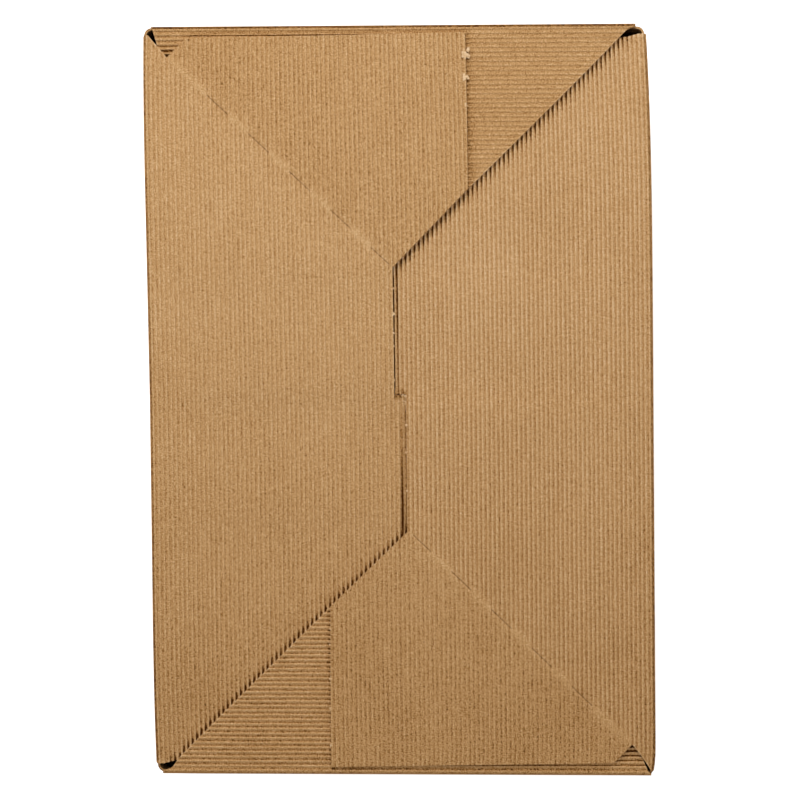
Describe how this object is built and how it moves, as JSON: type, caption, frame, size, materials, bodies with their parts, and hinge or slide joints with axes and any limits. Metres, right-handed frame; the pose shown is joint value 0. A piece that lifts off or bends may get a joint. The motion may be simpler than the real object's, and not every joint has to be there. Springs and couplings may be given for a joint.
{
  "type": "crash-lock cardboard box",
  "caption": "Ribbed kraft board box lying base up, with its interlocking glued base closed and its rim open.",
  "frame": {"origin": "middle of the box's plan, on the plane of the open rim that it rests on", "axes": "+Z from the open rim towards the closed base, +Y along the box's long sides"},
  "size_m": [0.2692, 0.392, 0.0911],
  "materials": {
    "ribbed_board": "matt"
  },
  "bodies": {
    "root": {"folded_box": "ribbed_board"}
  },
  "joints": []
}
